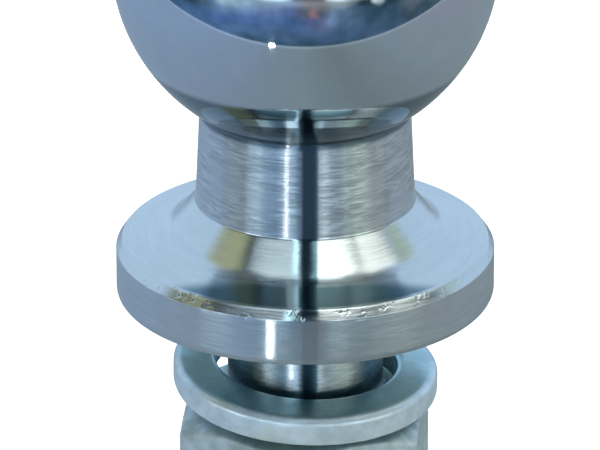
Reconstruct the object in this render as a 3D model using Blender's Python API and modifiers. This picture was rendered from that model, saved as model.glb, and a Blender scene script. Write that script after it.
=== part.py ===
"""A 50 mm tow ball on a threaded shank, with its split lock washer and hexagon nut.

The assembly stands upright on the end of its shank. The origin is the centre of that end
face, +Z runs up the shank to the ball, and -Y is the front. Lengths are in metres.
"""

from math import acos, atan, cos, dist, pi, radians, sin, sqrt, tan

import bmesh
import bpy

# Ball, neck and flange, one forging with the shank. The seat is the flange's underside.
BALL_RADIUS = 0.0250
BALL_CENTRE_ABOVE_SEAT = 0.0470
TOP_FLAT_RADIUS = 0.0080
NECK_RADIUS_AT_BALL = 0.0137
NECK_RADIUS_AT_FLARE = 0.0143
NECK_FOOT_ABOVE_SEAT = 0.0132
FLARE_FOOT_RADIUS = 0.0181
FLARE_FOOT_ABOVE_SEAT = 0.0088
FLARE_FOOT_EASING = 0.0014
FLANGE_RADIUS = 0.0247
RIM_TOP_ABOVE_SEAT = 0.0077
RIM_CHAMFER_WIDTH = 0.00085
RIM_CHAMFER_HEIGHT = 0.0012
RIM_FOOT_ROUNDING = 0.0011

# Shank
SHANK_LENGTH = 0.0600
SHANK_RADIUS = 0.0102
SHANK_FILLET = 0.0008
THREAD_TOP_BELOW_SEAT = 0.0122
THREAD_TOP_CONE = 0.0008
SHANK_END_CHAMFER = 0.0018
CENTRE_HOLE_RADIUS = 0.0022
CENTRE_HOLE_DEPTH = CENTRE_HOLE_RADIUS / tan(radians(30))

# Thread: M22 x 2.5, right-handed
PITCH = 0.0025
FLANK_SLOPE = tan(radians(30))
FLANK_PLAY = 0.0002
PITCH_RADIUS = 0.01019
SHANK_THREAD_RADIUS = 0.01095
SHANK_ROOT_RADIUS = 0.00935
NUT_THREAD_RADIUS = 0.01112
NUT_BORE_RADIUS = 0.00975
RUN_OUT_TURNS = 0.75

# Hexagon nut
NUT_ACROSS_FLATS = 0.0312
NUT_HEIGHT = 0.0180
NUT_TOP_BELOW_SEAT = 0.0154
NUT_FACE_RADIUS = 0.0144
NUT_CHAMFER_SLOPE = tan(radians(30))
NUT_COUNTERSINK = 0.0015
NUT_TURN = radians(-6)

# Split lock washer, wound left-handed. It lies loose, so it leans until it touches the nut
# at its low end and at the point opposite. Its inner edge is thicker, and stands higher.
WASHER_INNER_RADIUS = 0.0119
WASHER_OUTER_RADIUS = 0.0174
WASHER_THICKNESS = 0.0041
WASHER_INNER_EXTRA = 0.0002
WASHER_DISH = 0.0005
WASHER_ROUNDING = 0.0011
WASHER_RISE = 0.0030
WASHER_SPLIT = 0.0025
WASHER_LOW_END = radians(135)
RESTING_GAP = 0.0004

# Fineness, and how far a cutter reaches past what it cuts
TURNED_STEPS = 48
THREAD_STEPS = 24
WASHER_STEPS = 54
OVERCUT = 0.0015

SEAT_Z = SHANK_LENGTH
NUT_TOP_Z = SEAT_Z - NUT_TOP_BELOW_SEAT
NUT_MIDDLE_Z = NUT_TOP_Z - NUT_HEIGHT / 2
NUT_CORNER_RADIUS = NUT_ACROSS_FLATS / 2 / cos(radians(30))


def clear_scene():
    for old in list(bpy.data.objects):
        bpy.data.objects.remove(old)


def new_collection(name):
    collection = bpy.data.collections.new(name)
    bpy.context.scene.collection.children.link(collection)
    return collection


def new_object(name, mesh, collection):
    made = bpy.data.objects.new(name, mesh)
    collection.objects.link(made)
    return made


def metal(name, colour, roughness):
    material = bpy.data.materials.new(name)
    material.use_nodes = True
    shader = material.node_tree.nodes["Principled BSDF"]
    shader.inputs["Base Color"].default_value = (*colour, 1.0)
    shader.inputs["Metallic"].default_value = 1.0
    shader.inputs["Roughness"].default_value = roughness
    return material


def arc(centre, radii, start, end, steps):
    """Points along an ellipse in the (radius, height) plane, both ends included."""
    turns = [start + (end - start) * step / steps for step in range(steps + 1)]
    return [(centre[0] + radii[0] * cos(turn), centre[1] + radii[1] * sin(turn)) for turn in turns]


def eased(before, corner, after, reach, steps):
    """Points of a curve in place of a corner, starting and ending at reach from it."""

    def toward(other):
        share = reach / dist(corner, other)
        return [here + (there - here) * share for here, there in zip(corner, other)]

    points = []
    for step in range(steps + 1):
        t = step / steps
        parts = zip(toward(before), corner, toward(after))
        points.append(tuple((1 - t) ** 2 * a + 2 * t * (1 - t) * b + t**2 * c for a, b, c in parts))
    return points


def turned(name, outline, collection):
    """A solid of revolution about Z. The outline's (radius, height) points run top to bottom."""
    mesh = bpy.data.meshes.new(name)
    points = [(radius, 0, height) for radius, height in outline]
    mesh.from_pydata(points, [(i, i + 1) for i in range(len(points) - 1)], [])
    made = new_object(name, mesh, collection)
    screw = made.modifiers.new("Turn", "SCREW")
    screw.steps = TURNED_STEPS
    screw.render_steps = TURNED_STEPS
    screw.use_merge_vertices = True
    screw.merge_threshold = 1e-6
    return made


def swept(name, section, path, steps, collection):
    """A closed solid: a section of (radius, height) points carried round the Z axis.

    path(t), for t from 0 to 1, gives the turn, the shift outwards and the rise there. They
    vary unevenly along the way, which a Screw modifier can't do.
    """
    shape = bmesh.new()
    rings = []
    for step in range(steps + 1):
        turn, shift, rise = path(step / steps)
        places = [((r + shift) * cos(turn), (r + shift) * sin(turn), z + rise) for r, z in section]
        rings.append([shape.verts.new(place) for place in places])
    for ring, following in zip(rings, rings[1:]):
        for this in range(len(section)):
            shape.faces.new((ring[this - 1], ring[this], following[this], following[this - 1]))
    shape.faces.new(rings[0])
    shape.faces.new(rings[-1])
    bmesh.ops.recalc_face_normals(shape, faces=shape.faces)
    mesh = bpy.data.meshes.new(name)
    shape.to_mesh(mesh)
    shape.free()
    return new_object(name, mesh, collection)


def combine(piece, tool, operation):
    """Adds a Boolean. The tool is only a helper, so it stays out of renders."""
    boolean = piece.modifiers.new(tool.name, "BOOLEAN")
    boolean.operation = operation
    boolean.object = tool
    tool.hide_render = True
    tool.display_type = "WIRE"


def finish(piece, material):
    """Applies the modifiers, then sets the material and shades all but sharp edges smooth."""
    graph = bpy.context.evaluated_depsgraph_get()
    mesh = bpy.data.meshes.new_from_object(piece.evaluated_get(graph))
    piece.modifiers.clear()
    piece.data = mesh
    mesh.materials.clear()
    mesh.materials.append(material)
    mesh.shade_smooth()
    mesh.set_sharp_from_angle(angle=radians(30))


def stud_outline():
    """The forging's outline, from the flat on the ball down to the end of the shank."""
    ball_z = SEAT_Z + BALL_CENTRE_ABOVE_SEAT
    flat_z = ball_z + sqrt(BALL_RADIUS**2 - TOP_FLAT_RADIUS**2)
    flat_edge = acos(TOP_FLAT_RADIUS / BALL_RADIUS)
    neck_edge = -acos(NECK_RADIUS_AT_BALL / BALL_RADIUS)
    neck_foot_z = SEAT_Z + NECK_FOOT_ABOVE_SEAT
    neck_foot = (NECK_RADIUS_AT_FLARE, neck_foot_z)
    flare_foot = (FLARE_FOOT_RADIUS, SEAT_Z + FLARE_FOOT_ABOVE_SEAT)
    rim_top_z = SEAT_Z + RIM_TOP_ABOVE_SEAT
    rim_top = (FLANGE_RADIUS - RIM_CHAMFER_WIDTH, rim_top_z)
    rim_foot_centre = (FLANGE_RADIUS - RIM_FOOT_ROUNDING, SEAT_Z + RIM_FOOT_ROUNDING)
    fillet_centre = (SHANK_RADIUS + SHANK_FILLET, SEAT_Z - SHANK_FILLET)
    thread_top_z = SEAT_Z - THREAD_TOP_BELOW_SEAT
    return [
        (0, flat_z),
        *arc((0, ball_z), (BALL_RADIUS, BALL_RADIUS), flat_edge, 0, 12),
        *arc((0, ball_z), (BALL_RADIUS, BALL_RADIUS), 0, neck_edge, 10)[1:],
        neck_foot,
        *eased(neck_foot, flare_foot, rim_top, FLARE_FOOT_EASING, 4),
        rim_top,
        (FLANGE_RADIUS, rim_top_z - RIM_CHAMFER_HEIGHT),
        *arc(rim_foot_centre, (RIM_FOOT_ROUNDING, RIM_FOOT_ROUNDING), 0, -pi / 2, 3),
        *arc(fillet_centre, (SHANK_FILLET, SHANK_FILLET), pi / 2, pi, 2),
        (SHANK_RADIUS, thread_top_z),
        (SHANK_THREAD_RADIUS, thread_top_z - THREAD_TOP_CONE),
        (SHANK_THREAD_RADIUS, SHANK_END_CHAMFER),
        (SHANK_THREAD_RADIUS - SHANK_END_CHAMFER, 0),
        (CENTRE_HOLE_RADIUS, 0),
        (0, CENTRE_HOLE_DEPTH),
    ]


def groove_section(bottom_radius, mouth_radius, beyond_radius):
    """A thread groove, narrow at its bottom, and straight from its mouth to past the surface."""
    slope = FLANK_SLOPE if mouth_radius > bottom_radius else -FLANK_SLOPE

    def half_width(radius):
        return PITCH / 4 + FLANK_PLAY / 2 + (radius - PITCH_RADIUS) * slope

    bottom = half_width(bottom_radius)
    mouth = half_width(mouth_radius)
    upper = [(bottom_radius, bottom), (mouth_radius, mouth), (beyond_radius, mouth)]
    return upper + [(radius, -height) for radius, height in reversed(upper)]


def shank_groove(collection):
    """The cutter of the shank's thread, which runs out of the metal at the thread's top."""
    start_z = -PITCH
    end_z = SEAT_Z - THREAD_TOP_BELOW_SEAT - THREAD_TOP_CONE
    steps = round((end_z - start_z) / PITCH * THREAD_STEPS)
    turns = steps / THREAD_STEPS
    full_lift = SHANK_THREAD_RADIUS - SHANK_ROOT_RADIUS

    def path(t):
        run_out = max(0, t * turns - turns + RUN_OUT_TURNS) / RUN_OUT_TURNS
        return 2 * pi * turns * t, full_lift * run_out, start_z + PITCH * turns * t

    section = groove_section(
        SHANK_ROOT_RADIUS, SHANK_THREAD_RADIUS, SHANK_THREAD_RADIUS + OVERCUT
    )
    return swept("shank_groove_cutter", section, path, steps, collection)


def nut_groove(collection):
    """The cutter of the nut's thread, half a pitch from the shank's so that they mesh."""
    start_z = -PITCH / 2
    while start_z < NUT_TOP_Z - NUT_HEIGHT - 2 * PITCH:
        start_z += PITCH
    turns = round(NUT_HEIGHT / PITCH) + 4

    def path(t):
        return 2 * pi * turns * t, 0, start_z + PITCH * turns * t

    section = groove_section(NUT_THREAD_RADIUS, NUT_BORE_RADIUS, NUT_BORE_RADIUS - OVERCUT)
    return swept("nut_groove_cutter", section, path, turns * THREAD_STEPS, collection)


def nut_barrel(collection):
    """The turned shape that leaves the nut its chamfered corners, top and bottom."""
    widest = NUT_CORNER_RADIUS + OVERCUT
    shoulder = NUT_HEIGHT / 2 - (widest - NUT_FACE_RADIUS) * NUT_CHAMFER_SLOPE
    end = NUT_HEIGHT / 2 + OVERCUT
    end_radius = NUT_FACE_RADIUS - OVERCUT / NUT_CHAMFER_SLOPE
    upper = [(0, end), (end_radius, end), (widest, shoulder)]
    lower = [(radius, -height) for radius, height in reversed(upper)]
    barrel = turned("nut_chamfer_barrel", upper + lower, collection)
    barrel.location.z = NUT_MIDDLE_Z
    return barrel


def nut_bore(collection):
    """The cutter of the nut's bore, countersunk at both ends."""
    end = NUT_HEIGHT / 2 + OVERCUT
    mouth_radius = NUT_BORE_RADIUS + NUT_COUNTERSINK + OVERCUT
    upper = [(0, end), (mouth_radius, end), (NUT_BORE_RADIUS, NUT_HEIGHT / 2 - NUT_COUNTERSINK)]
    lower = [(radius, -height) for radius, height in reversed(upper)]
    bore = turned("nut_bore_cutter", upper + lower, collection)
    bore.location.z = NUT_MIDDLE_Z
    return bore


def make_ball_stud(parts, cutters):
    stud = turned("ball_stud", stud_outline(), parts)
    combine(stud, shank_groove(cutters), "DIFFERENCE")
    finish(stud, metal("chrome_plate", (0.62, 0.66, 0.70), 0.08))


def make_hex_nut(parts, cutters):
    bpy.ops.mesh.primitive_cylinder_add(
        vertices=6,
        radius=NUT_CORNER_RADIUS,
        depth=NUT_HEIGHT,
        location=(0, 0, NUT_MIDDLE_Z),
        rotation=(0, 0, NUT_TURN),
    )
    nut = bpy.context.object
    nut.name = "hex_nut"
    for collection in nut.users_collection:
        collection.objects.unlink(nut)
    parts.objects.link(nut)
    combine(nut, nut_barrel(cutters), "INTERSECT")
    combine(nut, nut_bore(cutters), "DIFFERENCE")
    combine(nut, nut_groove(cutters), "DIFFERENCE")
    finish(nut, metal("zinc_nut", (0.50, 0.56, 0.55), 0.42))


def washer_section():
    """A rectangle with round corners, dished, and thicker at its inner edge. Its foot is at 0."""
    corner = (WASHER_ROUNDING, WASHER_ROUNDING)
    inner = WASHER_INNER_RADIUS + WASHER_ROUNDING
    outer = WASHER_OUTER_RADIUS - WASHER_ROUNDING
    low = WASHER_ROUNDING
    high = WASHER_THICKNESS - WASHER_ROUNDING
    centres = [(outer, high), (inner, high), (inner, low), (outer, low)]
    points = []
    for quarter, centre in enumerate(centres):
        points += arc(centre, corner, quarter * pi / 2, (quarter + 1) * pi / 2, 2)
    width = WASHER_OUTER_RADIUS - WASHER_INNER_RADIUS
    section = []
    for radius, height in points:
        inward = (WASHER_OUTER_RADIUS - radius) / width
        extra = WASHER_INNER_EXTRA * (2 * height / WASHER_THICKNESS - 1)
        section.append((radius, height + inward * (WASHER_DISH + extra)))
    return section


def make_lock_washer(parts):
    """One open turn of a helix, leaned about its two touching points."""
    half_split = WASHER_SPLIT / (WASHER_INNER_RADIUS + WASHER_OUTER_RADIUS)

    def path(t):
        turn = half_split + (2 * pi - 2 * half_split) * t
        return WASHER_LOW_END - turn, 0, WASHER_RISE * (turn / (2 * pi) - 1 / 4)

    washer = swept("lock_washer", washer_section(), path, WASHER_STEPS, parts)
    touch_radius = WASHER_OUTER_RADIUS - WASHER_ROUNDING
    along = WASHER_RISE / 4 / touch_radius
    across = WASHER_RISE / (2 * pi) / touch_radius
    slope_x = along * cos(WASHER_LOW_END) + across * sin(WASHER_LOW_END)
    slope_y = along * sin(WASHER_LOW_END) - across * cos(WASHER_LOW_END)
    washer.rotation_euler = (atan(slope_y), -atan(slope_x), 0)
    washer.location.z = NUT_TOP_Z + RESTING_GAP
    finish(washer, metal("zinc_washer", (0.60, 0.66, 0.69), 0.30))


clear_scene()
ball_assembly = new_collection("tow_ball")
helpers = new_collection("cutters")
make_ball_stud(ball_assembly, helpers)
make_hex_nut(ball_assembly, helpers)
make_lock_washer(ball_assembly)
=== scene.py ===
"""Looks for the tow ball: fine meshes, plated-metal materials, soft studio light and camera."""

from functools import reduce
from math import acos, atan, ceil, cos, floor, pi, radians, sin, sqrt, tan

import bmesh
import bpy
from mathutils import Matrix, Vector


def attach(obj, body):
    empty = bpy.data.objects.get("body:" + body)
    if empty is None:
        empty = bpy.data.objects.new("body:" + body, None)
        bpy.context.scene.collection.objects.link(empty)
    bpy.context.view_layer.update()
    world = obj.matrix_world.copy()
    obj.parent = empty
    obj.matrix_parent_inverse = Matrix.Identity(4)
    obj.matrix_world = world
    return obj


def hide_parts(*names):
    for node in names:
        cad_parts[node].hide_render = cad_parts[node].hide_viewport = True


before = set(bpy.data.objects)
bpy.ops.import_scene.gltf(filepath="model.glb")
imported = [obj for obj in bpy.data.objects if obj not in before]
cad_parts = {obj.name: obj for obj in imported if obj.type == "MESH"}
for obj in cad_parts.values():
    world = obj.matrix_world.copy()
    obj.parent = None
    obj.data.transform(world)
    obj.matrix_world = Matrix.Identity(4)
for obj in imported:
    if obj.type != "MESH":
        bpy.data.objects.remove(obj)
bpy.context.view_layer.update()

# The forging's shape, as in the CAD. The seat is the flange's underside.
SEAT_Z = 0.0600
BALL_RADIUS = 0.0250
BALL_Z = SEAT_Z + 0.0470
TOP_FLAT_RADIUS = 0.0080
NECK_RADIUS_AT_BALL = 0.0137
NECK_RADIUS_AT_FLARE = 0.0143
NECK_FOOT_Z = SEAT_Z + 0.0132
FLARE_FOOT_RADIUS = 0.0181
FLARE_FOOT_Z = SEAT_Z + 0.0088
FLANGE_RADIUS = 0.0247
RIM_TOP_Z = SEAT_Z + 0.0077
RIM_CHAMFER_WIDTH = 0.00085
RIM_CHAMFER_HEIGHT = 0.0012
RIM_FOOT_ROUNDING = 0.0011
TOP_FLAT_ROUNDING = 0.0004
NECK_TOP_ROUNDING = 0.00022
NECK_FOOT_ROUNDING = 0.0005
FLARE_FOOT_ROUNDING = 0.0040
RIM_TOP_ROUNDING = 0.0005
RIM_CHAMFER_ROUNDING = 0.0003
SHANK_RADIUS = 0.0102
SHANK_FILLET = 0.0008
THREAD_TOP_Z = SEAT_Z - 0.0122
THREAD_TOP_CONE = 0.0008
SHANK_END_CHAMFER = 0.0018
CENTRE_HOLE_RADIUS = 0.0022
CENTRE_HOLE_DEPTH = CENTRE_HOLE_RADIUS / tan(radians(30))

# Thread
PITCH = 0.0025
FLANK_SLOPE = tan(radians(30))
FLANK_PLAY = 0.0002
PITCH_RADIUS = 0.01019
THREAD_RADIUS = 0.01095
ROOT_RADIUS = 0.00935
RUN_OUT_TURNS = 0.75
CAD_THREAD_STEPS = 24
END_EDGE_WIDTH = 0.0002

# Nut
NUT_ACROSS_FLATS = 0.0312
NUT_HEIGHT = 0.0180
NUT_TOP_Z = SEAT_Z - 0.0154
NUT_FACE_RADIUS = 0.0144
NUT_CHAMFER_SLOPE = tan(radians(30))
NUT_THREAD_RADIUS = 0.01112
NUT_BORE_RADIUS = 0.00975
NUT_COUNTERSINK = 0.0015
NUT_TURN = radians(-6)
NUT_EDGE_ROUNDING = 0.00028
BLANK_OVERLAP = 0.0010
CUTTER_OVERLAP = 0.0015

# Washer
WASHER_INNER_RADIUS = 0.0119
WASHER_OUTER_RADIUS = 0.0174
WASHER_THICKNESS = 0.0041
WASHER_INNER_EXTRA = 0.0002
WASHER_DISH = 0.0005
WASHER_ROUNDING = 0.0011
WASHER_END_ROUNDING = 0.00012
WASHER_RISE = 0.0030
WASHER_SPLIT = 0.0025
WASHER_LOW_END = radians(135)
RESTING_GAP = 0.0004

COLUMNS = 160
UPPER_BALL_STEPS = 44
LOWER_BALL_STEPS = 40
NUT_THREAD_STEPS = 64
WASHER_STEPS = 216
MERGE_DISTANCE = 2e-6


def new_object(name, mesh):
    made = bpy.data.objects.new(name, mesh)
    bpy.context.scene.collection.objects.link(made)
    return made


def arc(centre, radii, start, end, steps):
    """Points along an ellipse in the (radius, height) plane, both ends included."""
    turns = [start + (end - start) * step / steps for step in range(steps + 1)]
    return [(centre[0] + radii[0] * cos(t), centre[1] + radii[1] * sin(t)) for t in turns]


def rounded(corners, steps=4):
    """An outline from (radius, height, rounding) corners. A point on each side of a rounding keeps
    the smooth shading of the straight stretches flat."""
    outline = [corners[0][:2]]
    for before, corner, after in zip(corners, corners[1:], corners[2:]):
        here = Vector(corner[:2])
        back = (Vector(before[:2]) - here).normalized()
        on = (Vector(after[:2]) - here).normalized()
        if corner[2] == 0:
            outline.append(tuple(here))
            continue
        half = acos(max(-1, min(1, back.dot(on)))) / 2
        reach = corner[2] / tan(half)
        centre = here + (back + on).normalized() * corner[2] / sin(half)
        first = here + back * reach
        last = here + on * reach
        beside = corner[2] * 0.4
        outline.append(tuple(first + back * beside))
        for step in range(steps + 1):
            spot = first.lerp(last, step / steps) - centre
            outline.append(tuple(centre + spot.normalized() * corner[2]))
        outline.append(tuple(last + on * beside))
    outline.append(corners[-1][:2])
    return outline


def mesh_object(name, points, faces):
    mesh = bpy.data.meshes.new(name)
    mesh.from_pydata(points, [], faces)
    shape = bmesh.new()
    shape.from_mesh(mesh)
    bmesh.ops.remove_doubles(shape, verts=shape.verts, dist=MERGE_DISTANCE)
    bmesh.ops.recalc_face_normals(shape, faces=shape.faces)
    shape.to_mesh(mesh)
    shape.free()
    mesh.shade_smooth()
    return new_object(name, mesh)


def lathe(outline, points, faces):
    """Adds rings round Z, outermost columns joined. A ring at radius 0 closes the shape."""
    first = len(points)
    for radius, height in outline:
        for column in range(COLUMNS):
            turn = 2 * pi * column / COLUMNS
            points.append((radius * cos(turn), radius * sin(turn), height))
    for ring in range(len(outline) - 1):
        for column in range(COLUMNS):
            this = first + ring * COLUMNS + column
            beside = first + ring * COLUMNS + (column + 1) % COLUMNS
            faces.append((this, beside, beside + COLUMNS, this + COLUMNS))


def stud_top_outline():
    """From the flat on the ball down to the top of the thread."""
    flat_z = BALL_Z + sqrt(BALL_RADIUS**2 - TOP_FLAT_RADIUS**2)
    flat_edge = acos(TOP_FLAT_RADIUS / BALL_RADIUS)
    neck_edge = -acos(NECK_RADIUS_AT_BALL / BALL_RADIUS)
    ball = (0, BALL_Z)
    both = (BALL_RADIUS, BALL_RADIUS)
    rim_foot_centre = (FLANGE_RADIUS - RIM_FOOT_ROUNDING, SEAT_Z + RIM_FOOT_ROUNDING)
    fillet_centre = (SHANK_RADIUS + SHANK_FILLET, SEAT_Z - SHANK_FILLET)
    upper_ball = arc(ball, both, flat_edge, 0, UPPER_BALL_STEPS)
    lower_ball = arc(ball, both, 0, neck_edge, LOWER_BALL_STEPS)
    neck_top = lower_ball[-1]
    return [
        (0, flat_z),
        *rounded([
            (TOP_FLAT_RADIUS / 4, flat_z, 0),
            (TOP_FLAT_RADIUS, flat_z, TOP_FLAT_ROUNDING),
            upper_ball[1] + (0,),
        ])[1:-1],
        *upper_ball[1:],
        *lower_ball[1:-1],
        *rounded([
            lower_ball[-2] + (0,),
            neck_top + (NECK_TOP_ROUNDING,),
            (NECK_RADIUS_AT_FLARE, NECK_FOOT_Z, NECK_FOOT_ROUNDING),
            (FLARE_FOOT_RADIUS, FLARE_FOOT_Z, FLARE_FOOT_ROUNDING),
            (FLANGE_RADIUS - RIM_CHAMFER_WIDTH, RIM_TOP_Z, RIM_TOP_ROUNDING),
            (FLANGE_RADIUS, RIM_TOP_Z - RIM_CHAMFER_HEIGHT, RIM_CHAMFER_ROUNDING),
            (FLANGE_RADIUS, SEAT_Z + RIM_FOOT_ROUNDING, 0),
        ])[1:-1],
        *arc(rim_foot_centre, (RIM_FOOT_ROUNDING, RIM_FOOT_ROUNDING), 0, -pi / 2, 10),
        (FLANGE_RADIUS - 2 * RIM_FOOT_ROUNDING, SEAT_Z),
        (SHANK_RADIUS + 2 * SHANK_FILLET, SEAT_Z),
        *arc(fillet_centre, (SHANK_FILLET, SHANK_FILLET), pi / 2, pi, 8),
        (SHANK_RADIUS, SEAT_Z - 2 * SHANK_FILLET),
        (SHANK_RADIUS, THREAD_TOP_Z + END_EDGE_WIDTH),
        (SHANK_RADIUS, THREAD_TOP_Z),
    ]


def shank_envelope(height):
    """The blank's radius, which the thread is cut from."""
    if height < SHANK_END_CHAMFER:
        return THREAD_RADIUS - (SHANK_END_CHAMFER - height)
    cone = height - (THREAD_TOP_Z - THREAD_TOP_CONE)
    if cone > 0:
        return THREAD_RADIUS - (THREAD_RADIUS - SHANK_RADIUS) * min(1, cone / THREAD_TOP_CONE)
    return THREAD_RADIUS


def groove_half_width(radius, slope):
    """Half the width of a thread's groove at a distance from the axis."""
    return PITCH / 4 + FLANK_PLAY / 2 + (radius - PITCH_RADIUS) * slope


def groove_rows():
    """(height from the groove's centre, radius) over one pitch, with root and crest rounded."""
    bottom = groove_half_width(ROOT_RADIUS, FLANK_SLOPE)
    mouth = groove_half_width(THREAD_RADIUS, FLANK_SLOPE)
    deep = THREAD_RADIUS - ROOT_RADIUS
    half = [
        (0, 0),
        (0.6 * bottom, 0.004),
        (bottom + 0.02 * (mouth - bottom), 0.045),
        (bottom + 0.5 * (mouth - bottom), 0.5),
        (mouth - 0.06 * (mouth - bottom), 0.93),
        (mouth + 0.3 * (PITCH / 2 - mouth), 0.99),
    ]
    below = [(-height, ROOT_RADIUS + deep * share) for height, share in reversed(half[1:])]
    above = [(height, ROOT_RADIUS + deep * share) for height, share in half]
    return below + above + [(PITCH / 2, THREAD_RADIUS)]


def threaded_shank(points, faces):
    """A grid sheared along the helix, so that its rows follow the thread."""
    rows = groove_rows()
    start_z = -PITCH
    end_z = THREAD_TOP_Z - THREAD_TOP_CONE
    last_turn = round((end_z - start_z) / PITCH * CAD_THREAD_STEPS) / CAD_THREAD_STEPS
    pitches = ceil(last_turn) + 3
    count = pitches * len(rows)
    first = len(points)
    for column in range(COLUMNS):
        share = column / COLUMNS
        for row in range(count):
            turns = row // len(rows) - 1 + share
            height, radius = rows[row % len(rows)]
            run_out = max(0, turns - last_turn + RUN_OUT_TURNS) / RUN_OUT_TURNS
            z = max(0, min(THREAD_TOP_Z, start_z + PITCH * turns + height))
            lifted = radius + run_out * (THREAD_RADIUS - ROOT_RADIUS)
            r = min(shank_envelope(z), lifted)
            points.append((r * cos(2 * pi * share), r * sin(2 * pi * share), z))
    for column in range(COLUMNS):
        shift = len(rows) if column == COLUMNS - 1 else 0
        for row in range(count - 1 - shift):
            this = first + column * count + row
            beside = first + (column + 1) % COLUMNS * count + row + shift
            faces.append((this, beside, beside + 1, this + 1))


def make_stud():
    points, faces = [], []
    lathe(stud_top_outline(), points, faces)
    threaded_shank(points, faces)
    end_radius = THREAD_RADIUS - SHANK_END_CHAMFER
    lathe(
        [
            (end_radius, 0),
            (end_radius - END_EDGE_WIDTH, 0),
            (CENTRE_HOLE_RADIUS + END_EDGE_WIDTH, 0),
            (CENTRE_HOLE_RADIUS, 0),
            (CENTRE_HOLE_RADIUS - END_EDGE_WIDTH, END_EDGE_WIDTH / tan(radians(30))),
            (0, CENTRE_HOLE_DEPTH),
        ],
        points,
        faces,
    )
    stud = mesh_object("stud", points, faces)
    stud.data.set_sharp_from_angle(angle=radians(50))
    return stud


def swept(name, section, path, steps):
    """A closed solid: a section carried round Z. path(t) gives the turn and the rise."""
    points, faces = [], []
    count = len(section)
    for step in range(steps + 1):
        turn, rise = path(step / steps)
        points += [(r * cos(turn), r * sin(turn), z + rise) for r, z in section]
    for step in range(steps):
        for this in range(count):
            a = step * count + this
            b = step * count + (this + 1) % count
            faces.append((a, b, b + count, a + count))
    faces.append(tuple(range(count)))
    faces.append(tuple(range(steps * count, (steps + 1) * count)))
    return mesh_object(name, points, faces)


def apply_modifiers(piece):
    graph = bpy.context.evaluated_depsgraph_get()
    mesh = bpy.data.meshes.new_from_object(piece.evaluated_get(graph))
    piece.modifiers.clear()
    piece.data = mesh


def combine(piece, tool, operation):
    boolean = piece.modifiers.new(tool.name, "BOOLEAN")
    boolean.operation = operation
    boolean.object = tool
    apply_modifiers(piece)
    bpy.data.objects.remove(tool)


def bevel(piece, width, segments, angle):
    made = piece.modifiers.new("bevel", "BEVEL")
    made.width = width
    made.segments = segments
    made.limit_method = "ANGLE"
    made.angle_limit = angle
    made.harden_normals = False
    apply_modifiers(piece)


def turned_tool(name, outline, middle_z):
    points, faces = [], []
    lathe([(radius, height + middle_z) for radius, height in outline], points, faces)
    return mesh_object(name, points, faces)


def nut_tools():
    """The barrel that chamfers the nut's corners, and the bore's cutter, as (radius, height)."""
    over = CUTTER_OVERLAP
    widest = NUT_ACROSS_FLATS / 2 / cos(radians(30)) + over
    half = NUT_HEIGHT / 2
    shoulder = half - (widest - NUT_FACE_RADIUS) * NUT_CHAMFER_SLOPE
    barrel = [
        (0, half),
        (NUT_FACE_RADIUS, half),
        (widest, shoulder),
        (widest, -shoulder),
        (NUT_FACE_RADIUS, -half),
        (0, -half),
    ]
    mouth = NUT_BORE_RADIUS + NUT_COUNTERSINK + over
    bore = [
        (0, half + over),
        (mouth, half + over),
        (NUT_BORE_RADIUS, half - NUT_COUNTERSINK),
        (NUT_BORE_RADIUS, NUT_COUNTERSINK - half),
        (mouth, -half - over),
        (0, -half - over),
    ]
    return barrel, bore


def make_nut():
    corner_radius = NUT_ACROSS_FLATS / 2 / cos(radians(30))
    middle_z = NUT_TOP_Z - NUT_HEIGHT / 2
    turns = [NUT_TURN + radians(60 * side + 30) for side in range(6)]
    ring = [(corner_radius * cos(turn), corner_radius * sin(turn)) for turn in turns]
    heights = (NUT_TOP_Z - NUT_HEIGHT - BLANK_OVERLAP, NUT_TOP_Z + BLANK_OVERLAP)
    points = [(x, y, z) for z in heights for x, y in ring]
    sides = [(i, (i + 1) % 6, (i + 1) % 6 + 6, i + 6) for i in range(6)]
    nut = mesh_object("nut", points, sides + [tuple(range(6)), tuple(range(6, 12))])
    barrel, bore = nut_tools()
    combine(nut, turned_tool("barrel", barrel, middle_z), "INTERSECT")
    bevel(nut, NUT_EDGE_ROUNDING, 3, radians(20))
    combine(nut, turned_tool("bore", bore, middle_z), "DIFFERENCE")
    start_z = -PITCH / 2 + floor((NUT_TOP_Z - NUT_HEIGHT - PITCH) / PITCH) * PITCH
    turn_count = round(NUT_HEIGHT / PITCH) + 4
    bottom = groove_half_width(NUT_THREAD_RADIUS, -FLANK_SLOPE)
    mouth = groove_half_width(NUT_BORE_RADIUS, -FLANK_SLOPE)
    upper = [
        (NUT_THREAD_RADIUS, bottom),
        (NUT_BORE_RADIUS, mouth),
        (NUT_BORE_RADIUS - CUTTER_OVERLAP, mouth),
    ]
    section = upper + [(radius, -height) for radius, height in reversed(upper)]
    groove = swept(
        "groove",
        section,
        lambda t: (2 * pi * turn_count * t, start_z + PITCH * turn_count * t),
        turn_count * NUT_THREAD_STEPS,
    )
    combine(nut, groove, "DIFFERENCE")
    nut.data.shade_smooth()
    nut.data.set_sharp_from_angle(angle=radians(28))
    return nut


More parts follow.
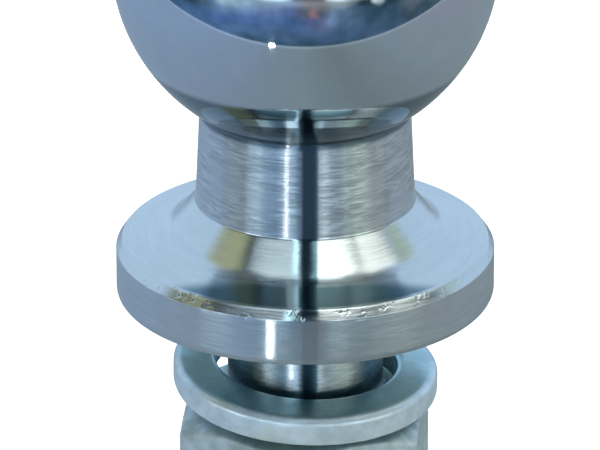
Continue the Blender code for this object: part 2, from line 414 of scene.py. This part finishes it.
def make_washer():
    """One open turn of a helix, leaned about the two points that it touches the nut at."""
    corner = (WASHER_ROUNDING, WASHER_ROUNDING)
    inner = WASHER_INNER_RADIUS + WASHER_ROUNDING
    outer = WASHER_OUTER_RADIUS - WASHER_ROUNDING
    low = WASHER_ROUNDING
    high = WASHER_THICKNESS - WASHER_ROUNDING
    width = WASHER_OUTER_RADIUS - WASHER_INNER_RADIUS
    points = []
    for quarter, centre in enumerate([(outer, high), (inner, high), (inner, low), (outer, low)]):
        points += arc(centre, corner, quarter * pi / 2, (quarter + 1) * pi / 2, 8)
    section = []
    for radius, height in points:
        inward = (WASHER_OUTER_RADIUS - radius) / width
        extra = WASHER_INNER_EXTRA * (2 * height / WASHER_THICKNESS - 1)
        section.append((radius, height + inward * (WASHER_DISH + extra)))
    half_split = WASHER_SPLIT / (WASHER_INNER_RADIUS + WASHER_OUTER_RADIUS)

    def path(t):
        turn = half_split + (2 * pi - 2 * half_split) * t
        return WASHER_LOW_END - turn, WASHER_RISE * (turn / (2 * pi) - 1 / 4)

    washer = swept("washer", section, path, WASHER_STEPS)
    bevel(washer, WASHER_END_ROUNDING, 2, radians(60))
    along = WASHER_RISE / 4 / outer
    across = WASHER_RISE / (2 * pi) / outer
    slope_x = along * cos(WASHER_LOW_END) + across * sin(WASHER_LOW_END)
    slope_y = along * sin(WASHER_LOW_END) - across * cos(WASHER_LOW_END)
    washer.rotation_euler = (atan(slope_y), -atan(slope_x), 0)
    washer.location.z = NUT_TOP_Z + RESTING_GAP
    washer.data.shade_smooth()
    washer.data.set_sharp_from_angle(angle=radians(50))
    return washer


class Shading:
    """A material's nodes, added one at a time. An input is a value or another node's output."""

    def __init__(self, name):
        self.material = bpy.data.materials.new(name)
        self.material.use_nodes = True
        self.tree = self.material.node_tree
        self.surface = self.tree.nodes["Principled BSDF"]

    def feed(self, socket, value):
        if isinstance(value, bpy.types.NodeSocket):
            self.tree.links.new(value, socket)
        else:
            socket.default_value = value

    def add(self, kind, inputs=(), output=0, **settings):
        node = self.tree.nodes.new("ShaderNode" + kind)
        for name, value in settings.items():
            setattr(node, name, value)
        pairs = inputs.items() if isinstance(inputs, dict) else enumerate(inputs)
        for key, value in pairs:
            self.feed(node.inputs[key], value)
        return node.outputs[output]

    def maths(self, operation, *inputs):
        return self.add("Math", inputs, operation=operation)

    def product(self, *factors):
        return reduce(lambda so_far, factor: self.maths("MULTIPLY", so_far, factor), factors)

    def total(self, *terms):
        return reduce(lambda so_far, term: self.maths("ADD", so_far, term), terms)

    def most(self, *values):
        return reduce(lambda so_far, value: self.maths("MAXIMUM", so_far, value), values)

    def distance(self, value, centre):
        return self.maths("ABSOLUTE", self.maths("SUBTRACT", value, centre))

    def span(self, value, low, high, from_value=0.0, to_value=1.0):
        """value carried from low..high to from_value..to_value, smoothly, and held past both."""
        return self.add(
            "MapRange",
            {0: value, 1: low, 2: high, 3: from_value, 4: to_value},
            interpolation_type="SMOOTHSTEP",
        )

    def noise(self, vector, scale, detail=3.0, roughness=0.6, w=None):
        inputs = {"Scale": scale, "Detail": detail, "Roughness": roughness, "Vector": vector}
        if w is not None:
            inputs["W"] = w
        dimensions = "3D" if w is None else "4D"
        return self.add("TexNoise", inputs, noise_dimensions=dimensions)

    def mix(self, share, first, second, blend="MIX"):
        return self.add(
            "Mix", {0: share, 6: first, 7: second}, output=2, data_type="RGBA", blend_type=blend
        )

    def tool_marks(self, x, y, z, radius, along, across):
        """Noise drawn out round the axis: along is its scale round the piece, across its scale
        up the walls and out over the flats."""
        off_axis = self.maths("MAXIMUM", radius, 0.001)
        spot = [
            self.product(self.maths("DIVIDE", x, off_axis), along),
            self.product(self.maths("DIVIDE", y, off_axis), along),
            self.product(z, across),
        ]
        return self.noise(self.add("CombineXYZ", spot), 1.0, w=self.product(radius, across))

    def mixed_value(self, share, first, second):
        return self.add("Mix", {0: share, 2: first, 3: second}, data_type="FLOAT")

    def ramp(self, share, stops):
        """share turned into a colour. stops are (place from 0 to 1, (red, green, blue))."""
        node = self.tree.nodes.new("ShaderNodeValToRGB")
        self.feed(node.inputs[0], share)
        elements = node.color_ramp.elements
        while len(elements) < len(stops):
            elements.new(0.5)
        for element, (at, tint) in zip(elements, stops):
            element.position = at
            element.color = colour(*tint)
        return node.outputs[0]

    def position(self):
        """The spot in the piece's own axes, its x, y and z, and its distance from the axis."""
        spot = self.add("TexCoord", output=3)
        split = self.tree.nodes.new("ShaderNodeSeparateXYZ")
        self.feed(split.inputs[0], spot)
        x, y, z = split.outputs
        squares = self.total(self.product(x, x), self.product(y, y))
        return spot, x, y, z, self.maths("SQRT", squares)

    def set(self, **inputs):
        for name, value in inputs.items():
            self.feed(self.surface.inputs[name.replace("_", " ")], value)

    def glow(self, tint, strength=1.0, alpha=1.0):
        """Light alone: nothing of it is lit by anything else."""
        self.set(
            Base_Color=colour(0, 0, 0),
            Emission_Color=tint,
            Emission_Strength=strength,
            Alpha=alpha,
            Specular_IOR_Level=0.0,
        )


def colour(red, green, blue):
    return (red, green, blue, 1.0)


# The plate's zones. Each pair is the height, or the distance from the axis, where a zone starts
# to fade in and where it is whole.
NECK_TOP_Z = BALL_Z - sqrt(BALL_RADIUS**2 - NECK_RADIUS_AT_BALL**2)
TURNED_FROM = (NECK_TOP_Z + 0.0005, NECK_TOP_Z - 0.0003)
NECK_FROM_TOP = (NECK_TOP_Z + 0.0001, NECK_TOP_Z - 0.0005)
NECK_FROM_FOOT = (NECK_FOOT_Z - 0.0004, NECK_FOOT_Z + 0.0010)
RIM_FROM_TOP = (RIM_TOP_Z - 0.0004, RIM_TOP_Z - 0.0011)
RIM_FROM_INSIDE = (FLANGE_RADIUS - 0.0007, FLANGE_RADIUS - 0.0001)
NICKS_FROM_TOP = (RIM_TOP_Z + 0.0008, RIM_TOP_Z + 0.0003)
NICKS_FROM_FOOT = (RIM_TOP_Z - 0.0017, RIM_TOP_Z - 0.0013)
NICKS_FROM_INSIDE = (FLANGE_RADIUS - 0.0013, FLANGE_RADIUS - 0.0009)
SHANK_FROM_TOP = (SEAT_Z, SEAT_Z - 0.0010)
PLAIN_FROM_THREAD = (THREAD_TOP_Z - 0.0004, THREAD_TOP_Z + 0.0008)

# What each zone adds to the ball's roughness, and how deep its brightness varies
BALL_ROUGHNESS = 0.035
ROUGHNESS_ADDED = {"turned": 0.135, "neck": 0.04, "rim": 0.02, "shank": 0.12}
WORN_IN_PATCHES = {"neck": 0.15, "shank": 0.16}
WORN_ALL_OVER = 0.03

# Painted reflections, painted shade and a painted shadow in the plate: (start of the fade, where it
# is whole)
# The dark colour of the painted reflections, painted shade and painted shadow
SHADE = (0.08, 0.17, 0.21)
# The colour of the painted shade on the ball's underside
UNDERSIDE_SHADE = (0.10, 0.15, 0.18)
# The colour of the painted highlight on the plain shank's front
PAINTED_HIGHLIGHT_TINT = (0.95, 0.97, 1.0)
IN_FRONT = (0.0, -0.001)
# A painted dark reflection: a stripe down the front
STRIPE_X = 0.0006
STRIPE_HALF_WIDTH = (0.0013, 0.0007)
# A painted highlight strip down the front, left of the painted dark stripe
PAINTED_HIGHLIGHT_X = -0.0016
PAINTED_HIGHLIGHT_HALF_WIDTH = (0.0011, 0.0005)
# Painted shade on the plain shank's sides
SHANK_SIDE_FROM_STRIPE = (0.0052, 0.0078)
SHANK_SIDE_FROM_BACK = (0.0030, -0.0020)
# Painted shadow on the shank just above the washer
PAINTED_FOOT_SHADOW = (NUT_TOP_Z + 0.0056, NUT_TOP_Z + 0.0050)
# Painted shade on the ball's underside, above the neck
UNDERSIDE_FROM_TOP = (NECK_TOP_Z + 0.0081, NECK_TOP_Z + 0.0067)
UNDERSIDE_FROM_NECK = (NECK_TOP_Z - 0.0011, NECK_TOP_Z - 0.0004)
# Painted dark reflection on the flange's front
FLANGE_FRONT_Y = (-0.0156, -0.0186)
FLANGE_FRONT_FROM_FLARE = (0.0184, 0.0194)
FLANGE_FRONT_FROM_RIM = (0.0238, 0.0232)


def plate_zones(s, z, radius):
    """How far each part of the stud is in force, from 0 to 1."""
    return {
        "turned": s.span(z, *TURNED_FROM),
        "neck": s.product(s.span(z, *NECK_FROM_TOP), s.span(z, *NECK_FROM_FOOT)),
        "rim": s.product(s.span(z, *RIM_FROM_TOP), s.span(radius, *RIM_FROM_INSIDE)),
        "shank": s.span(z, *SHANK_FROM_TOP),
    }


def plate_bump(s, place, marks, bands, z, radius, turned):
    """Tool marks, and nicks along the flange's upper edge."""
    edge = s.product(
        s.span(z, *NICKS_FROM_TOP), s.span(z, *NICKS_FROM_FOOT), s.span(radius, *NICKS_FROM_INSIDE)
    )
    nicks = s.product(s.span(s.noise(place, 520.0, w=2.0), 0.54, 0.66), edge)
    height = s.total(marks, s.product(bands, 0.6), s.product(nicks, -1.8))
    return s.add(
        "Bump", {"Strength": s.product(turned, 0.45), "Distance": 0.00004, "Height": height}
    )


def plate_roughness(s, marks, zones):
    added = [s.product(zones[name], more) for name, more in ROUGHNESS_ADDED.items()]
    uneven = s.product(zones["turned"], s.span(marks, 0.3, 0.7, -0.03, 0.03))
    return s.total(BALL_ROUGHNESS, *added, uneven)


def worn_brightness(s, place, marks, bands, zones):
    """A factor near 1 that follows the tool marks, more so in patches on the neck and shank."""
    uneven = s.span(s.product(marks, bands), 0.16, 0.36, -1.0, 1.0)
    patchy = s.span(s.noise(place, 190.0, detail=2.0, roughness=0.5), 0.38, 0.60)
    depth = s.total(*[s.product(zones[name], part) for name, part in WORN_IN_PATCHES.items()])
    depth = s.total(s.product(depth, patchy), s.product(zones["turned"], WORN_ALL_OVER))
    return s.total(1.0, s.product(depth, uneven))


def underside_shade(s, z, painted_highlight):
    """Painted shade on the ball's underside, lighter where the painted highlight crosses it."""
    underside = s.product(s.span(z, *UNDERSIDE_FROM_TOP), s.span(z, *UNDERSIDE_FROM_NECK))
    return s.product(underside, s.total(0.84, s.product(painted_highlight, -0.6)))


def shade_marks(s, x, y, z, radius, zones, plain, painted_highlight):
    """Painted dark reflections down the front and on the flange's front, painted shade on the plain
    shank's sides, and a painted shadow at its foot.
    """
    off_stripe = s.distance(x, STRIPE_X)
    # Painted dark reflection: a stripe down the front, faint on the rim
    stripe = s.product(
        s.span(off_stripe, *STRIPE_HALF_WIDTH),
        s.span(y, *IN_FRONT),
        plain,
        s.total(
            s.product(zones["turned"], 0.93),
            s.product(zones["shank"], 0.07),
            s.product(zones["rim"], -0.68),
        ),
    )
    # Painted shade on the plain shank's sides
    side = s.product(
        zones["shank"],
        s.span(off_stripe, *SHANK_SIDE_FROM_STRIPE, 0.0, 0.88),
        s.span(y, *SHANK_SIDE_FROM_BACK),
        plain,
    )
    # Painted shadow on the shank just above the washer
    foot = s.product(s.span(z, *PAINTED_FOOT_SHADOW), plain, 0.9)
    # Painted dark reflection on the flange's front, lighter under the painted highlight
    front = s.product(
        s.span(y, *FLANGE_FRONT_Y),
        s.span(radius, *FLANGE_FRONT_FROM_FLARE),
        s.span(radius, *FLANGE_FRONT_FROM_RIM),
        s.total(0.88, s.product(painted_highlight, -0.7)),
        zones["turned"],
    )
    return s.most(side, stripe, front, foot)


def chrome_material():
    """Bright plate over turned steel: a mirror on the ball, tool marks everywhere else."""
    s = Shading("chrome_plate")
    place, x, y, z, radius = s.position()
    zones = plate_zones(s, z, radius)
    marks = s.tool_marks(x, y, z, radius, 6.0, 3600.0)
    bands = s.tool_marks(x, y, z, radius, 2.5, 1000.0)
    plain = s.span(z, *PLAIN_FROM_THREAD)
    # A painted highlight strip down the front, above the thread: it brightens the shank and lightens
    # the painted shade
    painted_highlight = s.product(
        s.span(s.distance(x, PAINTED_HIGHLIGHT_X), *PAINTED_HIGHLIGHT_HALF_WIDTH), s.span(y, *IN_FRONT), plain
    )
    blotch = s.span(s.noise(place, 260.0), 0.35, 0.7)
    tint = s.mix(blotch, colour(0.62, 0.66, 0.70), colour(0.66, 0.69, 0.70))
    tint = s.mix(zones["turned"], tint, colour(0.655, 0.680, 0.665))
    # Painted shade on the ball's underside
    tint = s.mix(underside_shade(s, z, painted_highlight), tint, colour(*UNDERSIDE_SHADE))
    worn = worn_brightness(s, place, marks, bands, zones)
    tint = s.mix(1.0, tint, s.add("CombineColor", [worn, worn, worn]), "MULTIPLY")
    # Painted highlight on the plain shank's front
    tint = s.mix(s.product(painted_highlight, zones["shank"], 0.8), tint, colour(*PAINTED_HIGHLIGHT_TINT))
    # Painted dark reflections, painted shade and a painted shadow, mixed into the colour below
    shade = shade_marks(s, x, y, z, radius, zones, plain, painted_highlight)
    s.set(
        Base_Color=s.mix(shade, tint, colour(*SHADE)),
        Metallic=1.0,
        Roughness=plate_roughness(s, marks, zones),
        Normal=plate_bump(s, place, marks, bands, z, radius, zones["turned"]),
        Anisotropic=1.0,
        Anisotropic_Rotation=0.25,
    )
    return s.material


# Zinc plate: its two tints, roughness, grain, and the distances from the axis where the worn
# outside starts and where it is whole
WASHER_ZINC = {
    "light": (0.74, 0.86, 0.89),
    "dark": (0.58, 0.69, 0.72),
    "roughness": 0.38,
    "grain": 0.25,
    "outside_from": (WASHER_OUTER_RADIUS - 0.0014, WASHER_OUTER_RADIUS - 0.0003),
}
NUT_ZINC = {
    "light": (0.55, 0.64, 0.66),
    "dark": (0.36, 0.44, 0.42),
    "roughness": 0.45,
    "grain": 0.45,
    "outside_from": (NUT_FACE_RADIUS - 0.0004, NUT_FACE_RADIUS + 0.0002),
}
ZINC_STAIN = (0.60, 0.66, 0.52)
ZINC_INSIDE = (0.72, 0.86, 0.86)


def zinc_material(name, light, dark, roughness, grain, outside_from):
    """Zinc plate: pale, slightly frosted, and mottled where it has dulled."""
    s = Shading(name)
    place, _, _, _, radius = s.position()
    outside = s.span(radius, *outside_from)
    mottle = s.noise(place, 320.0, detail=4.0)
    speckle = s.noise(place, 2600.0)
    tint = s.mix(s.span(mottle, 0.35, 0.68), colour(*light), colour(*dark))
    tint = s.mix(s.span(speckle, 0.55, 0.75, 0.0, 0.35), tint, colour(*dark))
    stain = s.span(s.noise(place, 130.0, w=5.0), 0.48, 0.66, 0.0, 0.45)
    tint = s.mix(stain, tint, colour(*ZINC_STAIN))
    tint = s.mix(outside, s.mix(1.0, tint, colour(*ZINC_INSIDE), "MULTIPLY"), tint)
    rough = s.span(mottle, 0.3, 0.7, roughness - 0.05, roughness + 0.07)
    grainy = s.span(outside, 0.0, 1.0, 0.1 * grain, grain)
    height = s.total(speckle, s.product(mottle, 1.5))
    s.set(
        Base_Color=tint,
        Metallic=s.span(outside, 0.0, 1.0, 1.0, 0.7),
        Roughness=s.mixed_value(outside, roughness - 0.08, rough),
        Normal=s.add("Bump", {"Strength": grainy, "Distance": 0.00006, "Height": height}),
    )
    return s.material


# The surroundings that the metal reflects. Turns go from straight ahead of the ball's front to the
# right, and slopes go up, both in degrees.
PATCH_STEP = 8
PATCH_RADIUS = 1.7
PATCH_CENTRE_Z = 0.08
ROOM_TURNS = (-95, 95)
ROOM_SLOPES = (-44, 17)
ROOM_EDGES = (10, 3)
ROOM_WANDER = 26.0
ROOM_DRIFT = 14.0

# Each row: its slope, and (turn, red, green, blue) along it. The row below an empty row keeps its
# colours up to the empty row's slope.
ROOM_ROWS = [
    (-34, [(-60, 0.07, 0.15, 0.25), (0, 0.03, 0.08, 0.13), (60, 0.04, 0.09, 0.14)]),
    (-26, [(-60, 0.11, 0.21, 0.42), (0, 0.08, 0.16, 0.29), (60, 0.07, 0.13, 0.22)]),
    (-18, [
        (-70, 0.07, 0.16, 0.32),
        (-46, 0.10, 0.20, 0.46),
        (-16, 0.11, 0.22, 0.48),
        (-7, 0.07, 0.16, 0.35),
        (9, 0.17, 0.19, 0.35),
        (19, 0.19, 0.31, 0.52),
        (36, 0.05, 0.11, 0.18),
        (60, 0.06, 0.11, 0.16),
    ]),
    (-13, [
        (-66, 0.03, 0.06, 0.09),
        (-48, 0.20, 0.34, 0.58),
        (-24, 0.22, 0.36, 0.62),
        (-8, 0.14, 0.22, 0.46),
        (0, 0.12, 0.14, 0.20),
        (4, 0.36, 0.21, 0.20),
        (8, 0.13, 0.14, 0.22),
        (19, 0.19, 0.30, 0.46),
        (36, 0.05, 0.11, 0.17),
        (50, 0.015, 0.05, 0.08),
        (66, 0.20, 0.25, 0.30),
    ]),
    (-8, [
        (-66, 0.02, 0.05, 0.08),
        (-57, 0.10, 0.22, 0.40),
        (-46, 0.44, 0.63, 0.80),
        (-30, 0.35, 0.51, 0.67),
        (-8, 0.35, 0.50, 0.70),
        (0, 0.36, 0.36, 0.40),
        (10, 0.31, 0.31, 0.34),
        (19, 0.35, 0.43, 0.47),
        (29, 0.22, 0.28, 0.30),
        (34, 0.03, 0.05, 0.07),
        (38, 0.03, 0.05, 0.07),
        (40, 0.80, 0.95, 1.00),
        (43, 0.80, 0.95, 1.00),
        (45, 0.01, 0.04, 0.06),
        (49, 0.01, 0.04, 0.06),
        (52, 0.50, 0.62, 0.66),
        (56, 0.12, 0.22, 0.26),
        (64, 0.45, 0.50, 0.46),
    ]),
    (-2, [
        (-95, 0.90, 1.00, 0.90),
        (-64, 0.90, 1.00, 0.90),
        (-60, 2.20, 2.70, 3.00),
        (-50, 2.20, 2.70, 3.00),
        (-43, 1.00, 1.40, 1.70),
        (-36, 0.50, 0.80, 1.10),
        (-29, 0.45, 0.75, 1.05),
        (-23, 2.40, 3.00, 3.50),
        (-14, 2.40, 3.00, 3.50),
        (-10, 1.00, 1.50, 1.90),
        (-6, 0.02, 0.03, 0.04),
        (10, 0.02, 0.03, 0.04),
        (14, 1.80, 2.30, 2.60),
        (20, 3.60, 4.20, 4.60),
        (26, 1.70, 2.00, 2.30),
        (40, 1.60, 1.90, 2.10),
        (50, 2.20, 2.60, 2.40),
        (63, 2.20, 2.60, 2.40),
        (75, 0.85, 1.00, 0.95),
        (95, 0.60, 0.68, 0.66),
    ]),
    (8, []),
    (12, [
        (-95, 0.10, 0.14, 0.18),
        (-14, 0.03, 0.05, 0.07),
        (-11, 2.00, 3.00, 3.60),
        (-8, 0.03, 0.05, 0.07),
        (95, 0.10, 0.12, 0.14),
    ]),
]


def curved_patch(name, turns, slopes):
    """A piece of a sphere round the object."""
    across = ceil((turns[1] - turns[0]) / PATCH_STEP)
    up = ceil((slopes[1] - slopes[0]) / PATCH_STEP)
    points, faces = [], []
    for row in range(up + 1):
        slope = radians(min(90, slopes[0] + (slopes[1] - slopes[0]) * row / up))
        flat = PATCH_RADIUS * cos(slope)
        for step in range(across + 1):
            turn = radians(turns[0] + (turns[1] - turns[0]) * step / across)
            points.append((flat * sin(turn), -flat * cos(turn), PATCH_RADIUS * sin(slope)))
    for row in range(up):
        for step in range(across):
            this = row * (across + 1) + step
            faces.append((this, this + 1, this + across + 2, this + across + 1))
    patch = mesh_object(name, points, faces)
    patch.location.z = PATCH_CENTRE_Z
    return patch


def only_reflected(piece, material):
    """Seen by the metal alone: it neither shows nor lights the floor."""
    piece.data.materials.append(material)
    piece.visible_camera = False
    piece.visible_shadow = False
    piece.visible_diffuse = False


def directions(s):
    """The spot on a curved patch, its turn from the patch's middle and its slope, in degrees."""
    spot, x, y, z, _ = s.position()
    turn = s.maths("DEGREES", s.maths("ARCTAN2", x, s.product(y, -1.0)))
    slope = s.maths("DEGREES", s.maths("ARCSINE", s.maths("DIVIDE", z, PATCH_RADIUS)))
    return spot, turn, slope


def add_card(size, name, middle, half_width, slopes, tint, edge):
    """A glowing curved card, size times as far off as the room, that fades out over edge degrees."""
    card = curved_patch(name, (-half_width, half_width), slopes)
    card.rotation_euler.z = radians(middle)
    card.scale = (size, size, size)
    s = Shading(name)
    _, turn, slope = directions(s)
    fade = s.product(
        s.span(s.maths("ABSOLUTE", turn), half_width, half_width - edge),
        s.span(slope, slopes[1], slopes[1] - edge),
        s.span(slope, slopes[0], slopes[0] + edge),
    )
    s.glow(colour(*tint), alpha=fade)
    only_reflected(card, s.material)


def room_row(s, turn, stops):
    """The colours along one row of ROOM_ROWS."""
    left, right = ROOM_TURNS
    share = s.add("MapRange", {0: turn, 1: left, 2: right})
    return s.ramp(share, [((at - left) / (right - left), tint) for at, *tint in stops])


def room_material():
    """The rows of ROOM_ROWS, blended by slope. Noise makes them irregular low down."""
    s = Shading("room")
    place, true_turn, true_slope = directions(s)
    low = s.span(true_slope, -6, -10)
    soft = {"detail": 1.0, "roughness": 0.5}
    wander = s.total(s.noise(place, 2.2, **soft), -0.5)
    drift = s.total(s.noise(place, 2.0, **soft, w=7.0), -0.5)
    turn = s.total(true_turn, s.product(wander, ROOM_WANDER, low))
    slope = s.total(true_slope, s.product(drift, ROOM_DRIFT, low))
    tint = room_row(s, turn, ROOM_ROWS[0][1])
    for (last_slope, _), (row_slope, stops) in zip(ROOM_ROWS, ROOM_ROWS[1:]):
        if stops:
            row = room_row(s, turn, stops)
            tint = s.mix(s.span(slope, last_slope, row_slope), tint, row)
    uneven = s.span(s.noise(place, 5.0, **soft, w=3.0), 0.25, 0.75, 0.82, 1.18)
    side, top = ROOM_TURNS[1], ROOM_SLOPES[1]
    fade = s.product(
        s.span(s.maths("ABSOLUTE", true_turn), side, side - ROOM_EDGES[0]),
        s.span(true_slope, top, top - ROOM_EDGES[1]),
    )
    s.glow(tint, strength=s.mixed_value(low, 1.0, uneven), alpha=fade)
    return s.material


# Each card: name, turn of its middle, half its width, slopes, tint, width of its soft edge.
# The first stands farthest off.
FARTHEST_CARD = 1.16
CARD_SPACING = 0.02
CARDS = [
    ("card_ceiling", 180, 190, (46, 122), (0.17, 0.22, 0.28), 32),
    ("card_behind", 180, 95, (-14, 62), (0.57, 0.78, 1.05), 14),
    ("card_yellow", -88, 21, (28, 58), (0.48, 0.53, 0.33), 6),
    ("card_green", 106, 12, (20, 48), (0.46, 0.58, 0.48), 6),
    ("card_above_right", 37, 29, (46, 80), (2.60, 2.90, 2.85), 6),
    ("card_beside_right", 80, 22, (34, 64), (1.50, 1.65, 1.60), 6),
    ("card_above_left", -37, 31, (44, 80), (0.85, 1.07, 1.20), 6),
    ("card_strip", -11, 2.8, (20, 66), (1.80, 3.00, 3.60), 2),
]

FLOOR_HALF_WIDTH = 4.0
FLOOR_Z = -0.0002
GLINT_HALF_SIZE = (0.0052, 0.0013)
GLINT_PLACE = (-0.0565, -0.1605, 0.0020)
GLINT_TURN = radians(-22)
GLINT_TINT = (0.90, 1.0, 1.05)
GLINT_STRENGTH = 85.0
OVERHEAD_PLACE = (0.1, -0.2, 1.6)
OVERHEAD_TARGET = (0, 0, 0.05)
OVERHEAD_SIZE = 2.2
OVERHEAD_POWER = 62.0
CAMERA_DISTANCE = 0.800
CAMERA_LENS = 374.6
SIGHT_SLOPE = radians(20.78)
CAMERA_TILT = radians(2.490)
CAMERA_PAN = radians(0.0523)
WHITE = (1.0, 1.0, 1.0)
DIM_SURROUNDINGS = (0.03, 0.045, 0.075)

TABLE_CENTRE_Y = 0.302
TABLE_RADIUS = 0.474
TABLE_Z = -0.0003
TABLE_EDGE = (TABLE_RADIUS - 0.012, TABLE_RADIUS - 0.004)
TABLE_EDGE_BRIGHTNESS = 1.5

# The table's colour across its width, as a share of the way from the far left to the far right
TABLE_COLOURS_HALF_WIDTH = 0.30
TABLE_COLOURS = [
    (0.17, (0.31, 0.43, 0.62)),
    (0.37, (0.28, 0.375, 0.51)),
    (0.44, (0.262, 0.345, 0.42)),
    (0.50, (0.257, 0.333, 0.38)),
    (0.57, (0.215, 0.27, 0.29)),
    (0.70, (0.28, 0.35, 0.40)),
    (1.00, (0.34, 0.375, 0.45)),
]


def table_material():
    s = Shading("table_reflection")
    place, x, _, _, _ = s.position()
    half = TABLE_COLOURS_HALF_WIDTH
    share = s.add("MapRange", {0: x, 1: -half, 2: half})
    centre = (0, TABLE_CENTRE_Y, 0)
    reach = s.add("VectorMath", {0: place, 1: centre}, output=1, operation="DISTANCE")
    bright = s.span(reach, *TABLE_EDGE, 1.0, TABLE_EDGE_BRIGHTNESS)
    s.glow(s.ramp(share, TABLE_COLOURS), strength=bright)
    return s.material


def flat_rectangle(name, half_x, half_y, height):
    corners = [(-half_x, -half_y), (half_x, -half_y), (half_x, half_y), (-half_x, half_y)]
    return mesh_object(name, [(x, y, height) for x, y in corners], [(0, 1, 2, 3)])


def disc(name, centre_y, radius, height):
    turns = [2 * pi * step / 72 for step in range(72)]
    points = [(radius * cos(t), centre_y + radius * sin(t), height) for t in turns]
    return mesh_object(name, points, [tuple(range(72))])


def add_floor():
    floor_piece = flat_rectangle("floor", FLOOR_HALF_WIDTH, FLOOR_HALF_WIDTH, FLOOR_Z)
    s = Shading("floor")
    s.set(Base_Color=colour(0.90, 0.91, 0.92), Roughness=0.9)
    floor_piece.data.materials.append(s.material)
    floor_piece.visible_glossy = False


def add_glint():
    """A small bright strip that stands on the table, just behind its front edge."""
    glint = flat_rectangle("glint", *GLINT_HALF_SIZE, 0)
    glint.location = GLINT_PLACE
    glint.rotation_euler = (radians(90), 0, GLINT_TURN)
    s = Shading("glint")
    s.glow(colour(*GLINT_TINT), strength=GLINT_STRENGTH)
    only_reflected(glint, s.material)


def add_stage():
    add_floor()
    only_reflected(disc("table_reflection", TABLE_CENTRE_Y, TABLE_RADIUS, TABLE_Z), table_material())
    only_reflected(curved_patch("room", ROOM_TURNS, ROOM_SLOPES), room_material())
    for order, card in enumerate(CARDS):
        add_card(FARTHEST_CARD - CARD_SPACING * order, *card)
    add_glint()


def add_overhead_light():
    data = bpy.data.lights.new("overhead", "AREA")
    data.shape = "DISK"
    data.size = OVERHEAD_SIZE
    data.energy = OVERHEAD_POWER
    light = new_object("overhead", data)
    light.location = OVERHEAD_PLACE
    light.visible_glossy = False
    toward = Vector(OVERHEAD_TARGET) - light.location
    light.rotation_euler = toward.to_track_quat("-Z", "Y").to_euler()


def add_world():
    """White behind the object, and dim where the metal would reflect it."""
    world = bpy.data.worlds.new("world")
    bpy.context.scene.world = world
    world.use_nodes = True
    tree = world.node_tree
    background = tree.nodes["Background"]
    path = tree.nodes.new("ShaderNodeLightPath")
    mix = tree.nodes.new("ShaderNodeMix")
    mix.data_type = "RGBA"
    tree.links.new(path.outputs["Is Camera Ray"], mix.inputs[0])
    mix.inputs[6].default_value = colour(*DIM_SURROUNDINGS)
    mix.inputs[7].default_value = colour(*WHITE)
    tree.links.new(mix.outputs[2], background.inputs["Color"])


def add_camera():
    """A long lens, tilted down from the ball's centre so that the ball is cut at the top."""
    data = bpy.data.cameras.new("camera")
    data.sensor_width = 36
    data.lens = CAMERA_LENS
    data.clip_start = 0.05
    data.clip_end = 20
    camera = new_object("camera", data)
    toward = Vector((0, cos(SIGHT_SLOPE), -sin(SIGHT_SLOPE)))
    camera.location = Vector((0, 0, BALL_Z)) - toward * CAMERA_DISTANCE
    camera.rotation_euler = (pi / 2 - SIGHT_SLOPE - CAMERA_TILT, 0, CAMERA_PAN)
    bpy.context.scene.camera = camera


def place(piece, node, body, slot, material):
    piece.data.materials.clear()
    piece.data.materials.append(material)
    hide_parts(node)
    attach(piece, body)


add_camera()
place(make_stud(), "ball_stud", "stud", "chrome_plate", chrome_material())
washer_zinc = zinc_material("zinc_washer", **WASHER_ZINC)
place(make_washer(), "lock_washer", "washer", "zinc_washer", washer_zinc)
nut_zinc = zinc_material("zinc_nut", **NUT_ZINC)
place(make_nut(), "hex_nut", "nut", "zinc_nut", nut_zinc)
add_stage()
add_overhead_light()
add_world()
bpy.context.scene.view_settings.view_transform = "Standard"
